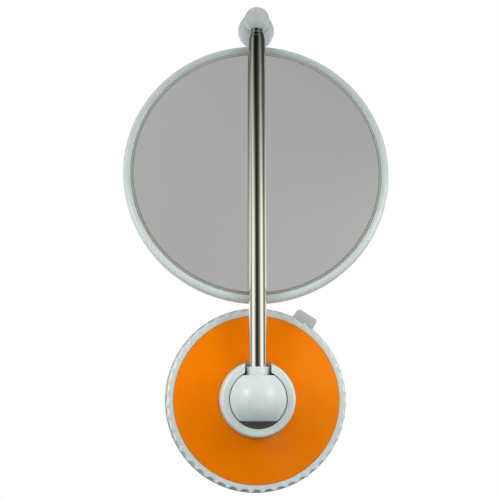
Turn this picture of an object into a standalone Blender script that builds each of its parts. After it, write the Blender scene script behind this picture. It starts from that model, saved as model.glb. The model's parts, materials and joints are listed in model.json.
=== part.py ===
"""Extendable shaving mirror on a twist-lock suction base.

Frame: metres, +Z up.  The wall is the plane Y = 0 and the viewer stands on the -Y side.
The origin is the centre of the suction cup's flat back.  At rest the arm is folded up
against the wall, along +Z, with the mirror hanging behind it.

Face coordinates are used for everything that is turned about a line square to the wall:
x to the right, y up and z the distance out from the wall.  Arm pieces use x, y and z with
z along the arm, counted from the centre of the big ball.
"""
import math

import bmesh
import bpy
from mathutils import Matrix

# ---------------------------------------------------------------- driving dimensions
GAP = 0.0003                    # between pieces that touch on the real object

CUP_RADIUS = 0.0539
CUP_BOSS_RADIUS = 0.009
CUP_BOSS_TOP = 0.0052
TAB_ANGLE = math.radians(32.5)  # clockwise from straight up
TAB_WIDTH = 0.014
TAB_REACH = 0.0597

RING_RADIUS = 0.0528
RING_BORE = 0.0464
RING_BACK = 0.0039
RING_FRONT = 0.0140
RING_STEP = 0.0124              # the bore widens here to take the cover's edge
RING_STEP_RADIUS = 0.0484
SCALLOPS = 48
SCALLOP_DEPTH = 0.0014
RING_TURN = math.radians(60)
PLUNGER_TRAVEL = 0.003

HOUSING_WALL = (0.0430, 0.0460)
HOUSING_PLATE = (0.0110, 0.0126)
PLUNGER_BACK, PLUNGER_FRONT = 0.0055, 0.0077
LUG_RADIUS = 0.0488
LUG_WIDTH = 0.007
LUG_ANGLES = [math.radians(a) for a in (0, 120, 240)]
COVER_SCREW_ANGLES = [math.radians(a) for a in (60, 180, 300)]
COVER_SCREW_CIRCLE = 0.036

COVER_RADIUS = 0.0480
COVER_BORE = 0.02235
COVER_EDGE_FRONT = 0.0142
COVER_HUB_FRONT = 0.0186

BALL_STANDOFF = 0.030           # the big ball's centre, out from the wall
BALL_RADIUS = 0.0166
BALL_FLAT = 0.013               # the ball is cut flat above, round the neck
BALL_FOOT = 0.01175             # and flat below, this far down
SOCKET_RADIUS = 0.01695
NECK_RADIUS = 0.00645
NECK_TOP = 0.01775
COLLAR_FRONT = 0.0355
NOTCH_WIDTH = 0.0148

OUTER_TUBE = (0.00465, 0.00515)  # inner and outer radius
MIDDLE_TUBE = (0.00380, 0.00430)
INNER_TUBE = (0.00290, 0.00340)
INNER_TUBE_TOP = 0.2216
SPIGOT_FOOT = 0.2100

END_BALL_HEIGHT = 0.2280        # its centre, along the arm
END_BALL_RADIUS = 0.00765
END_BALL_FLAT = 0.0039          # the flat that faces the wall, behind the centre

KNUCKLE_DEPTH = 0.0179          # the knuckle's centre, out from the wall
KNUCKLE_HEIGHT = 0.2266
KNUCKLE_RADIUS = 0.01115
KNUCKLE_FLAT = 0.0079           # ahead of the knuckle's centre
BARREL_RADIUS = 0.0053
BARREL_HALF = 0.0049
STEM_RADIUS = 0.0027
KNUCKLE_SCREW_X = 0.0077

MIRROR_HEIGHT = 0.1346          # the mirror's centre
MIRROR_RADIUS = 0.0800
MIRROR_FRONT = 0.0238
GLASS_RADIUS = 0.0751
GLASS_BACK, GLASS_FRONT = 0.0204, 0.0231
WEB_BACK, WEB_FRONT = 0.0184, 0.0194
FRAME_BACK = 0.0169
BACK_INSIDE = 0.0156
TONGUE_HALF = 0.0045
TONGUE_BACK, TONGUE_FRONT = 0.0159, 0.0183
TONGUE_FOOT = 0.1935
TONGUE_SCREW_HEIGHTS = (0.204, 0.198)
BACK_SCREW_CIRCLE = 0.070
BACK_SCREW_ANGLES = [math.radians(a) for a in (45, 135, 225, 315)]

FACING = (math.radians(90), 0, 0)   # turns face coordinates to the room's
ARM_PLACE = (0, -BALL_STANDOFF, 0)
MIRROR_PLACE = (0, 0, MIRROR_HEIGHT)
KNUCKLE_PLACE = (0, 0, KNUCKLE_HEIGHT)
PIVOT_PLACE = (0, 0, END_BALL_HEIGHT)

# ---------------------------------------------------------------- a clean scene
for thing in list(bpy.data.objects):
    bpy.data.objects.remove(thing)


# ---------------------------------------------------------------- finishes
def finish(name, red, green, blue, roughness, metallic=0.0):
    """A Principled material with a plain colour."""
    made = bpy.data.materials.new(name)
    made.use_nodes = True
    shader = made.node_tree.nodes["Principled BSDF"]
    shader.inputs["Base Color"].default_value = (red, green, blue, 1)
    shader.inputs["Roughness"].default_value = roughness
    shader.inputs["Metallic"].default_value = metallic
    return made


WHITE = finish("white_abs", 0.72, 0.75, 0.74, 0.25)
ORANGE = finish("orange_abs", 0.92, 0.23, 0.0, 0.2)
CHROME = finish("chromed_brass", 0.8, 0.8, 0.8, 0.08, 1)
STEEL = finish("zinc_plated_steel", 0.55, 0.56, 0.58, 0.35, 1)
BRASS = finish("brass", 0.7, 0.5, 0.2, 0.35, 1)
CUP_PVC = finish("soft_pvc", 0.6, 0.64, 0.64, 0.35)
ACETAL = finish("natural_acetal", 0.7, 0.7, 0.66, 0.4)
GLASS = finish("silvered_glass", 0.6, 0.6, 0.6, 0.03, 1)
FOAM = finish("foam_tape", 0.12, 0.12, 0.12, 0.9)


# ---------------------------------------------------------------- bodies
def pivot(name, location, parent=None):
    """An empty on a joint's axis, which carries the pieces that move together."""
    empty = bpy.data.objects.new(name, None)
    bpy.context.collection.objects.link(empty)
    empty.location = location
    bpy.context.view_layer.update()
    if parent:
        empty.parent = parent
        empty.matrix_parent_inverse = parent.matrix_world.inverted()
    return empty


BASE = pivot("base_frame", (0, 0, 0))
RING = pivot("ring_axis", (0, -RING_FRONT, 0), BASE)
PLUNGER = pivot("plunger_axis", (0, -PLUNGER_BACK, 0), BASE)
SOCKET = pivot("socket_axis", ARM_PLACE, BASE)
BALL = pivot("arm_tilt_axis", ARM_PLACE, SOCKET)
ARM_OUTER = pivot("arm_spin_axis", ARM_PLACE, BALL)
ARM_MIDDLE = pivot("middle_slide", ARM_PLACE, ARM_OUTER)
ARM_INNER = pivot("inner_slide", ARM_PLACE, ARM_MIDDLE)
SWING = pivot("mirror_swing_axis", (0, -BALL_STANDOFF, END_BALL_HEIGHT), ARM_INNER)
TILT = pivot("mirror_tilt_axis", (0, -KNUCKLE_DEPTH, KNUCKLE_HEIGHT), SWING)


# ---------------------------------------------------------------- shapes
def turned(profile, segments):
    """Spin a profile of (radius, height) points about the z axis."""
    shape = bmesh.new()
    points = [shape.verts.new((radius, 0, height)) for radius, height in profile]
    ends = list(zip(points, points[1:]))
    if profile[0][0] > 0 or profile[-1][0] > 0:
        ends.append((points[-1], points[0]))
    edges = [shape.edges.new(pair) for pair in ends]
    bmesh.ops.spin(shape, geom=points + edges, cent=(0, 0, 0), axis=(0, 0, 1),
                   angle=math.tau, steps=segments, use_merge=True)
    bmesh.ops.remove_doubles(shape, verts=shape.verts, dist=1e-7)
    return shape


def rod(radius, low, high, segments=12, centre=(0, 0)):
    """A plain round bar along z."""
    shape = turned([(0, low), (radius, low), (radius, high), (0, high)], segments)
    bmesh.ops.translate(shape, verts=shape.verts, vec=(centre[0], centre[1], 0))
    return shape


def block(low, high):
    """A box between two corners."""
    size = [b - a for a, b in zip(low, high)]
    middle = [(a + b) / 2 for a, b in zip(low, high)]
    shape = bmesh.new()
    bmesh.ops.create_cube(shape, size=1, matrix=Matrix.Translation(middle) @ Matrix.Diagonal((*size, 1)))
    return shape


def lofted(sections, closed=False):
    """Join outlines of equal point counts one after another, round to the first if closed."""
    shape = bmesh.new()
    loops = [[shape.verts.new(point) for point in section] for section in sections]
    following = loops[1:] + loops[:1] if closed else loops[1:]
    for near, far in zip(loops, following):
        for i in range(len(near)):
            j = (i + 1) % len(near)
            shape.faces.new((near[i], near[j], far[j], far[i]))
    if not closed:
        shape.faces.new(loops[0])
        shape.faces.new(loops[-1][::-1])
    return shape


def slab(outline, low, high):
    """A flat outline of (x, y) points given a thickness along z."""
    return lofted([[(x, y, z) for x, y in outline] for z in (low, high)])


def clockwise(radius, angle):
    """A point on a circle, the angle counted clockwise from straight up as the viewer sees it."""
    return radius * math.sin(angle), radius * math.cos(angle)


def repeated(shape, angles):
    """Copies of a shape, each turned clockwise about z by one of the angles."""
    pattern = bpy.data.meshes.new("pattern")
    shape.to_mesh(pattern)
    shape.free()
    whole = bmesh.new()
    for angle in angles:
        before = len(whole.verts)
        whole.from_mesh(pattern)
        whole.verts.ensure_lookup_table()
        bmesh.ops.rotate(whole, verts=whole.verts[before:], matrix=Matrix.Rotation(-angle, 3, "Z"))
    bpy.data.meshes.remove(pattern)
    return whole


def sphere_arc(radius, centre, start, stop, steps):
    """(radius, height) points on a sphere round (0, centre), at heights from start to stop."""
    first, last = (math.asin((height - centre) / radius) for height in (start, stop))
    angles = [first + (last - first) * i / steps for i in range(steps + 1)]
    return [(radius * math.cos(a), centre + radius * math.sin(a)) for a in angles]


# ---------------------------------------------------------------- pieces
def piece(name, shape, look, body, location=(0, 0, 0), rotation=(0, 0, 0)):
    """Turn a shape into a named object that rides on a body's empty."""
    bmesh.ops.recalc_face_normals(shape, faces=shape.faces)
    mesh = bpy.data.meshes.new(name)
    shape.to_mesh(mesh)
    shape.free()
    mesh.shade_smooth()
    mesh.set_sharp_from_angle(angle=math.radians(35))
    if look:
        mesh.materials.append(look)
    made = bpy.data.objects.new(name, mesh)
    bpy.context.collection.objects.link(made)
    made.location = location
    made.rotation_euler = rotation
    made.parent = body
    made.matrix_parent_inverse = body.matrix_world.inverted()
    return made


def boolean(target, shape, operation):
    """Add to or cut from a piece with a hidden tool that sits in the piece's own coordinates."""
    count = len(target.modifiers) + 1
    tool = piece(f"{target.name}.tool{count}", shape, None, target.parent,
                 target.location, target.rotation_euler)
    tool.hide_render = True
    tool.display_type = "WIRE"
    modifier = target.modifiers.new(f"{operation.lower()}_{count}", "BOOLEAN")
    modifier.operation = operation
    modifier.object = tool


def facing(name, profile, segments, look, body, location=(0, 0, 0)):
    """A turned piece in face coordinates."""
    return piece(name, turned(profile, segments), look, body, location, FACING)


def on_arm(name, profile, segments, look, body):
    """A turned piece on the arm's own axis."""
    return piece(name, turned(profile, segments), look, body, ARM_PLACE)


def screw_profile(head_radius, shank_radius, head_top, shank_top, tip, recess=0.0006):
    """A screw along z with its head at the higher end: flat top, blind driver recess, shank."""
    return [(0, head_top - recess), (head_radius * 0.45, head_top - recess),
            (head_radius * 0.45, head_top), (head_radius, head_top),
            (max(head_radius * 0.9, shank_radius), shank_top), (shank_radius, shank_top),
            (shank_radius, tip), (0, tip)]


def flat_head_profile(head_radius, shank_radius, head_top, cone_foot, tip):
    """A countersunk screw along z, head at head_top; tip may lie either side of the head."""
    down = 1 if tip < head_top else -1
    floor = head_top - down * 0.0005
    return [(0, floor), (head_radius * 0.45, floor), (head_radius * 0.45, head_top),
            (head_radius, head_top), (shank_radius, cone_foot), (shank_radius, tip), (0, tip)]


def countersink(head_radius, shank_radius, mouth, cone_foot, bottom, segments=12):
    """The matching hole, from outside the surface at mouth down to bottom."""
    return turned([(0, mouth), (head_radius, mouth), (shank_radius, cone_foot),
                   (shank_radius, bottom), (0, bottom)], segments)


# ---------------------------------------------------------------- suction base
def make_suction_cup():
    """Soft disc with a flat back, a boss for the insert and a tab to lift its edge."""
    cup = facing("suction_cup", [
        (0, 0), (CUP_RADIUS - 0.0004, 0), (CUP_RADIUS, 0.0004), (CUP_RADIUS - 0.0003, 0.0012),
        (0.0430, 0.0019), (0.0120, 0.0026), (CUP_BOSS_RADIUS, 0.0030),
        (CUP_BOSS_RADIUS, CUP_BOSS_TOP), (0.0036, CUP_BOSS_TOP), (0.0036, 0.0012), (0, 0.0012)],
        48, CUP_PVC, BASE)
    corner = 0.0022
    half = TAB_WIDTH / 2
    rounded = [(sign * (half - corner + corner * math.sin(a)), TAB_REACH - corner + corner * math.cos(a))
               for sign in (1, -1) for a in [math.radians(t) for t in ((90, 60, 30, 0), (0, 30, 60, 90))[sign < 0]]]
    outline = [(half, 0.049)] + rounded + [(-half, 0.049)]
    boolean(cup, repeated(slab(outline, 0.0003, 0.0016), [TAB_ANGLE]), "UNION")


def make_cup_insert():
    """Threaded brass insert that is moulded into the cup's boss."""
    facing("cup_insert", [(0, 0.0015), (0.0033, 0.0015), (0.0033, 0.0051), (0.00205, 0.0051),
                          (0.00205, 0.0021), (0, 0.0021)], 20, BRASS, PLUNGER)


def make_plunger():
    """Three-armed spider whose ends ride in the grip ring's ramps."""
    outline = []
    half = LUG_WIDTH / 2
    hub = 0.011
    for angle in LUG_ANGLES:
        spread = math.asin(half / LUG_RADIUS)
        foot = math.asin(half / hub)
        for radius, turn in ((hub, -foot), (LUG_RADIUS, -spread), (LUG_RADIUS, 0),
                             (LUG_RADIUS, spread), (hub, foot), (hub, math.radians(60))):
            outline.append(clockwise(radius, angle + turn))
    spider = piece("plunger", slab(outline, PLUNGER_BACK, PLUNGER_FRONT), ACETAL, PLUNGER, (0, 0, 0), FACING)
    boolean(spider, countersink(0.0043, 0.00205, PLUNGER_FRONT + 0.0002, 0.0058, 0.004, 16), "DIFFERENCE")
    facing("plunger_screw", flat_head_profile(0.0036, 0.0017, 0.0075, 0.0058, 0.0025), 12, STEEL, PLUNGER)


def make_housing():
    """The fixed frame: a foot that presses on the cup's edge, a slotted wall and a front plate."""
    plate_back, plate_front = HOUSING_PLATE
    wall_in, wall_out = HOUSING_WALL
    housing = facing("base_housing", [
        (0.0125, plate_back), (wall_in, plate_back), (wall_in, 0.0023), (0.0515, 0.0023),
        (0.0515, 0.0035), (wall_out, 0.0035), (wall_out, plate_front), (0.0125, plate_front)],
        48, WHITE, BASE)
    slot_half = LUG_WIDTH / 2 + 0.0006
    slot = block((-slot_half, wall_in - 0.002, PLUNGER_BACK - 0.0004),
                 (slot_half, wall_out + 0.002, plate_back + GAP))
    boolean(housing, repeated(slot, LUG_ANGLES), "DIFFERENCE")
    hole = rod(0.0016, 0.010, 0.014, centre=(0, COVER_SCREW_CIRCLE))
    boolean(housing, repeated(hole, COVER_SCREW_ANGLES), "DIFFERENCE")


def make_grip_ring():
    """Scalloped ring with three sloping grooves inside; a turn lifts the plunger."""
    def section(angle, outer):
        radial = [(RING_BORE, RING_BACK), (outer, RING_BACK), (outer, 0.0126), (outer - 0.0012, RING_FRONT),
                  (RING_STEP_RADIUS, RING_FRONT), (RING_STEP_RADIUS, RING_STEP), (RING_BORE, RING_STEP)]
        return [(*clockwise(radius, angle), height) for radius, height in radial]

    pitch = math.tau / SCALLOPS
    steps = ((-0.22, RING_RADIUS), (0.22, RING_RADIUS), (0.5, RING_RADIUS - SCALLOP_DEPTH))
    sections = [section((tooth + along) * pitch, outer) for tooth in range(SCALLOPS) for along, outer in steps]
    ring = piece("grip_ring", lofted(sections, closed=True), WHITE, RING, (0, 0, 0), FACING)

    middle = (PLUNGER_BACK + PLUNGER_FRONT) / 2
    room = (PLUNGER_FRONT - PLUNGER_BACK) / 2 + 0.00055
    lead = math.radians(7)

    def groove_section(angle):
        # the ring turns clockwise, so in its own frame the lug moves anticlockwise, outward from the wall
        lift = PLUNGER_TRAVEL * min(max(-angle / RING_TURN, -0.1), 1.1)
        corners = ((RING_BORE - 0.001, -room), (LUG_RADIUS + 0.0004, -room),
                   (LUG_RADIUS + 0.0004, room), (RING_BORE - 0.001, room))
        return [(*clockwise(radius, angle), middle + lift + height) for radius, height in corners]

    count = 14
    angles = [lead - (RING_TURN + 2 * lead) * i / count for i in range(count + 1)]
    boolean(ring, repeated(lofted([groove_section(a) for a in angles]), LUG_ANGLES), "DIFFERENCE")
    # the way in for the lugs when the ring is fitted
    start, stop = math.radians(5.5), math.radians(16)
    entry = []
    for i in range(4):
        angle = start + (stop - start) * i / 3
        corners = ((RING_BORE - 0.0012, RING_BACK - 0.001), (LUG_RADIUS + 0.0005, RING_BACK - 0.001),
                   (LUG_RADIUS + 0.0005, middle + room - 0.0004), (RING_BORE - 0.0012, middle + room - 0.0004))
        entry.append([(*clockwise(radius, angle), height) for radius, height in corners])
    boolean(ring, repeated(lofted(entry), LUG_ANGLES), "DIFFERENCE")


def make_cover():
    """Glossy cone that closes the base and holds the socket's flange down."""
    cover = facing("cover_disc", [
        (COVER_BORE, 0.0153), (0.0270, 0.0153), (0.0465, 0.0129), (COVER_RADIUS, 0.0129),
        (COVER_RADIUS, 0.0139), (COVER_RADIUS - 0.0004, COVER_EDGE_FRONT),
        (COVER_BORE + 0.0006, COVER_HUB_FRONT), (COVER_BORE, 0.0181)], 48, ORANGE, BASE)
    boss = rod(0.0032, 0.0129, 0.0151, 16, centre=(0, COVER_SCREW_CIRCLE))
    boolean(cover, repeated(boss, COVER_SCREW_ANGLES), "UNION")
    hole = rod(0.0015, 0.012, 0.0148, centre=(0, COVER_SCREW_CIRCLE))
    boolean(cover, repeated(hole, COVER_SCREW_ANGLES), "DIFFERENCE")
    for number, angle in enumerate(COVER_SCREW_ANGLES, 1):
        x, z = clockwise(COVER_SCREW_CIRCLE, angle)
        profile = [(radius, -height) for radius, height in
                   screw_profile(0.0027, 0.0012, -0.0091, -0.0107, -0.0145)]
        facing(f"cover_screw_{number}", profile, 10, STEEL, BASE, (x, 0, z))


def make_socket():
    """Swivelling collar with the arm's notch, and the ring and wave spring that grip the ball."""
    mouth = sphere_arc(SOCKET_RADIUS, BALL_STANDOFF, COLLAR_FRONT - GAP, BALL_STANDOFF, 4)
    collar = facing("socket_collar", [
        (0.0192, 0.0130), (0.0253, 0.0130), (0.0253, 0.0150), (0.02205, 0.0150), (0.0219, 0.0200),
        (0.0208, 0.0338), (0.0204, 0.0348), (0.0197, COLLAR_FRONT), (0.0166, COLLAR_FRONT)]
        + mouth + [(0.0172, 0.0290), (0.0172, 0.0232), (0.0192, 0.0232)], 36, WHITE, SOCKET)
    half = NOTCH_WIDTH / 2
    arc = [(half * math.cos(a), BALL_STANDOFF - half * math.sin(a))
           for a in [math.pi * i / 10 for i in range(11)]]
    outline = [(half, 0.040)] + arc + [(-half, 0.040)]
    boolean(collar, lofted([[(x, y, z) for x, z in outline] for y in (0.008, 0.030)]), "DIFFERENCE")

    facing("thrust_washer", [(0.0135, 0.0129), (0.0187, 0.0129), (0.0187, 0.0134), (0.0135, 0.0134)],
           24, ACETAL, SOCKET)

    waves, steps, swing = 3, 36, 0.0010
    sections = []
    for i in range(steps):
        angle = math.tau * i / steps
        middle = 0.0151 + swing * math.sin(waves * angle)
        corners = ((0.0146, -0.00025), (0.0184, -0.00025), (0.0184, 0.00025), (0.0146, 0.00025))
        sections.append([(*clockwise(radius, angle), middle + height) for radius, height in corners])
    piece("seat_spring", lofted(sections, closed=True), STEEL, SOCKET, (0, 0, 0), FACING)

    grip = sphere_arc(SOCKET_RADIUS, BALL_STANDOFF, 0.0228, 0.0168, 4)
    facing("ball_seat", [(0.01885, 0.0168), (0.01885, 0.0228)] + grip, 28, ACETAL, SOCKET)


# ---------------------------------------------------------------- arm
def make_base_ball():
    """Ball with flat ends and a neck; its bore takes the outer tube."""
    surface = sphere_arc(BALL_RADIUS, 0, -BALL_FOOT, BALL_FLAT, 11)
    bore = OUTER_TUBE[1] + GAP
    on_arm("base_ball", [(0.0069, -BALL_FOOT)] + surface + [
        (NECK_RADIUS, BALL_FLAT), (NECK_RADIUS, NECK_TOP - 0.0004), (NECK_RADIUS - 0.0003, NECK_TOP),
        (bore, NECK_TOP), (bore, -0.0090), (0.0069, -0.0090)], 28, WHITE, BALL)
    on_arm("ball_cap", [(0, -0.01165), (0.0066, -0.01165), (0.0066, -0.0109), (0, -0.0109)], 16, WHITE, BALL)


def make_tubes():
    """Three telescopic tubes, each mouth rolled in round the next, with a bush on each inner end."""
    inner, outer = OUTER_TUBE
    mouth = MIDDLE_TUBE[1] + 0.00012
    on_arm("outer_tube", [
        (inner, -0.00905), (outer, -0.00905), (outer, 0.2134), (outer - 0.00013, 0.2144),
        (outer - 0.00035, 0.2156), (outer - 0.00043, 0.2166), (mouth, 0.2166), (mouth, 0.2156),
        (inner, 0.2139)], 24, CHROME, ARM_OUTER)
    on_arm("tube_plug", [(0, -0.0106), (0.0065, -0.0106), (0.0065, -0.00935), (0.00435, -0.00935),
                         (0.00435, -0.0040), (0, -0.0040)], 20, BRASS, ARM_OUTER)

    inner, outer = MIDDLE_TUBE
    mouth = INNER_TUBE[1] + 0.00012
    on_arm("middle_tube", [
        (inner, 0.0030), (outer, 0.0030), (outer, 0.2174), (outer - 0.00015, 0.2180),
        (outer - 0.00038, 0.2189), (outer - 0.00045, 0.2194), (mouth, 0.2194), (mouth, 0.2186),
        (inner, 0.2170)], 24, CHROME, ARM_MIDDLE)
    on_arm("middle_bush", [(0.0024, 0.0008), (0.00452, 0.0008), (0.00452, 0.0027), (0.0035, 0.0027),
                           (0.0035, 0.0080), (0.0024, 0.0080)], 24, BRASS, ARM_MIDDLE)

    inner, outer = INNER_TUBE
    on_arm("inner_tube", [(inner, 0.0150), (outer, 0.0150), (outer, INNER_TUBE_TOP), (inner, INNER_TUBE_TOP)],
           24, CHROME, ARM_INNER)
    on_arm("inner_bush", [(0.0016, 0.0128), (0.00364, 0.0128), (0.00364, 0.0147), (0.0026, 0.0147),
                          (0.0026, 0.0190), (0.0016, 0.0190)], 24, BRASS, ARM_INNER)


def make_end_ball():
    """Small ball on a spigot crimped in the inner tube, with a flat at the back for the knuckle."""
    ahead = BALL_STANDOFF + END_BALL_RADIUS
    flat = BALL_STANDOFF - END_BALL_FLAT
    surface = sphere_arc(END_BALL_RADIUS, BALL_STANDOFF, flat, ahead, 7)[:-1]
    ball = facing("arm_end_ball", [(0, flat)] + surface + [(0, ahead)], 24, WHITE, ARM_INNER, PIVOT_PLACE)

    def upright(shape):
        """Turn a shape made along the arm into the ball's face coordinates."""
        bmesh.ops.rotate(shape, verts=shape.verts, matrix=Matrix.Rotation(-math.pi / 2, 3, "X"))
        bmesh.ops.translate(shape, verts=shape.verts, vec=(0, -END_BALL_HEIGHT, BALL_STANDOFF))
        return shape

    recess = turned([(0, flat - 0.001), (0.0049, flat - 0.001), (0.0049, flat + 0.0009),
                     (0.00155, flat + 0.0009), (0.00155, 0.0335), (0, 0.0335)], 20)
    boolean(ball, recess, "DIFFERENCE")
    boolean(ball, upright(rod(INNER_TUBE[1] + GAP, 0.215, INNER_TUBE_TOP + GAP, 24)), "DIFFERENCE")
    boolean(ball, upright(rod(INNER_TUBE[0] - GAP, SPIGOT_FOOT, 0.2226, 24)), "UNION")

    facing("pivot_washer", [(0.0019, flat), (0.0046, flat), (0.0046, flat + 0.0006), (0.0019, flat + 0.0006)],
           20, STEEL, ARM_INNER, PIVOT_PLACE)
    head = KNUCKLE_DEPTH + 0.00575
    facing("pivot_screw", flat_head_profile(0.0023, 0.00125, head, head + 0.001, 0.0330), 12,
           STEEL, ARM_INNER, PIVOT_PLACE)


# ---------------------------------------------------------------- knuckle
def make_knuckle():
    """Two half shells round the tilt barrel, turning on the small ball's flat."""
    centre = KNUCKLE_DEPTH
    split = 0.00015
    cavity_half = BARREL_HALF + GAP
    slot_half = STEM_RADIUS + 0.00035

    def cavity():
        hollow = rod(BARREL_RADIUS + GAP, -cavity_half, cavity_half, 28)
        bmesh.ops.rotate(hollow, verts=hollow.verts, matrix=Matrix.Rotation(math.pi / 2, 3, "Y"))
        bmesh.ops.translate(hollow, verts=hollow.verts, vec=(0, 0, centre))
        return hollow

    front_surface = sphere_arc(KNUCKLE_RADIUS, centre, centre + split, centre + KNUCKLE_FLAT, 5)
    front = facing("knuckle_front", [(0, centre + split)] + front_surface + [(0, centre + KNUCKLE_FLAT)],
                   28, WHITE, SWING, KNUCKLE_PLACE)
    boolean(front, cavity(), "DIFFERENCE")
    slot = block((-slot_half, -0.020, centre - 0.002), (slot_half, 0.0005, centre + slot_half))
    boolean(front, slot, "DIFFERENCE")
    pivot_hole = turned([(0, centre + 0.0040), (0.0028, centre + 0.0040), (0.0028, centre + 0.0056),
                         (0.00155, centre + 0.0068), (0.00155, centre + 0.0090), (0, centre + 0.0090)], 16)
    bmesh.ops.translate(pivot_hole, verts=pivot_hole.verts, vec=(0, END_BALL_HEIGHT - KNUCKLE_HEIGHT, 0))
    boolean(front, pivot_hole, "DIFFERENCE")
    threads = repeated(rod(0.0013, centre - 0.001, centre + 0.0040, centre=(0, KNUCKLE_SCREW_X)),
                       [math.pi / 2, -math.pi / 2])
    boolean(front, threads, "DIFFERENCE")

    behind = centre - KNUCKLE_RADIUS
    rear_surface = sphere_arc(KNUCKLE_RADIUS, centre, behind, centre - split, 7)[1:]
    rear = facing("knuckle_rear", [(0, behind)] + rear_surface + [(0, centre - split)],
                  28, WHITE, SWING, KNUCKLE_PLACE)
    boolean(rear, cavity(), "DIFFERENCE")
    # the stem's path: from straight down round to 100 degrees, a little above straight back
    far, lift = 0.020, math.radians(10)
    top = slot_half / math.cos(lift)
    fan = [(-far, 0.002), (-far, -far), (far * math.tan(lift) + top, -far), (top, 0.002)]
    path = lofted([[(x, y, centre + z) for y, z in fan] for x in (-slot_half, slot_half)])
    boolean(rear, path, "DIFFERENCE")
    hole = turned([(0, 0.004), (0.00205, 0.004), (0.00205, centre - 0.0046), (0.0013, centre - 0.0046),
                   (0.0013, centre + 0.001), (0, centre + 0.001)], 14)
    bmesh.ops.translate(hole, verts=hole.verts, vec=(0, KNUCKLE_SCREW_X, 0))
    boolean(rear, repeated(hole, [math.pi / 2, -math.pi / 2]), "DIFFERENCE")
    for side, x in (("right", KNUCKLE_SCREW_X), ("left", -KNUCKLE_SCREW_X)):
        profile = [(radius, -height) for radius, height in screw_profile(
            0.00175, 0.0010, -(centre - 0.0062), -(centre - 0.0049), -(centre + 0.0036))]
        facing(f"knuckle_screw_{side}", profile, 10, STEEL, SWING, (x, 0, KNUCKLE_HEIGHT))


# ---------------------------------------------------------------- mirror
def make_tilt_barrel():
    """Cross barrel, stem and flat tongue that carry the mirror."""
    barrel = rod(BARREL_RADIUS, -BARREL_HALF, BARREL_HALF, 28)
    bmesh.ops.rotate(barrel, verts=barrel.verts, matrix=Matrix.Rotation(math.pi / 2, 3, "Y"))
    hanger = piece("tilt_barrel", barrel, WHITE, TILT, (0, -KNUCKLE_DEPTH, KNUCKLE_HEIGHT))
    foot = MIRROR_HEIGHT + MIRROR_RADIUS + GAP - KNUCKLE_HEIGHT
    boolean(hanger, rod(STEM_RADIUS, foot, -0.003, 16), "UNION")
    tongue = block((-TONGUE_HALF, KNUCKLE_DEPTH - TONGUE_FRONT, TONGUE_FOOT - KNUCKLE_HEIGHT),
                   (TONGUE_HALF, KNUCKLE_DEPTH - TONGUE_BACK, foot + 0.0004))
    boolean(hanger, tongue, "UNION")
    for height in TONGUE_SCREW_HEIGHTS:
        hole = rod(0.0013, -0.006, 0.006)
        bmesh.ops.rotate(hole, verts=hole.verts, matrix=Matrix.Rotation(math.pi / 2, 3, "X"))
        bmesh.ops.translate(hole, verts=hole.verts, vec=(0, 0, height - KNUCKLE_HEIGHT))
        boolean(hanger, hole, "DIFFERENCE")


def make_mirror_frame():
    """Front ring with the web that backs the glass and four screw bosses."""
    frame = facing("mirror_frame", [
        (0.0450, WEB_BACK), (0.0450, WEB_FRONT), (0.0754, WEB_FRONT), (0.0754, 0.0229),
        (0.0762, 0.0236), (0.0771, MIRROR_FRONT), (0.0786, 0.0233), (0.0796, 0.0219),
        (MIRROR_RADIUS, 0.0200), (MIRROR_RADIUS, FRAME_BACK), (0.0765, FRAME_BACK), (0.0765, WEB_BACK)],
        60, WHITE, TILT, MIRROR_PLACE)
    boss = rod(0.0028, BACK_INSIDE + GAP, WEB_BACK + 0.0004, 12, centre=(0, BACK_SCREW_CIRCLE))
    boolean(frame, repeated(boss, BACK_SCREW_ANGLES), "UNION")
    hole = rod(0.0013, 0.0150, 0.0189, centre=(0, BACK_SCREW_CIRCLE))
    boolean(frame, repeated(hole, BACK_SCREW_ANGLES), "DIFFERENCE")
    side = TONGUE_HALF + 0.0004
    notch = block((-side, 0.070, 0.0150), (side, 0.085, TONGUE_FRONT + 0.0004))
    boolean(frame, notch, "DIFFERENCE")


def make_glass():
    """Silvered disc with a narrow bevel, and the foam tape that holds it."""
    bevel = 0.0012
    facing("mirror_glass", [(0, GLASS_BACK), (GLASS_RADIUS, GLASS_BACK), (GLASS_RADIUS, GLASS_FRONT - 0.0009),
                            (GLASS_RADIUS - bevel, GLASS_FRONT), (0, GLASS_FRONT)], 60, GLASS, TILT, MIRROR_PLACE)
    facing("glass_pad", [(0.0470, 0.01965), (0.0700, 0.01965), (0.0700, 0.02015), (0.0470, 0.02015)],
           28, FOAM, TILT, MIRROR_PLACE)


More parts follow.
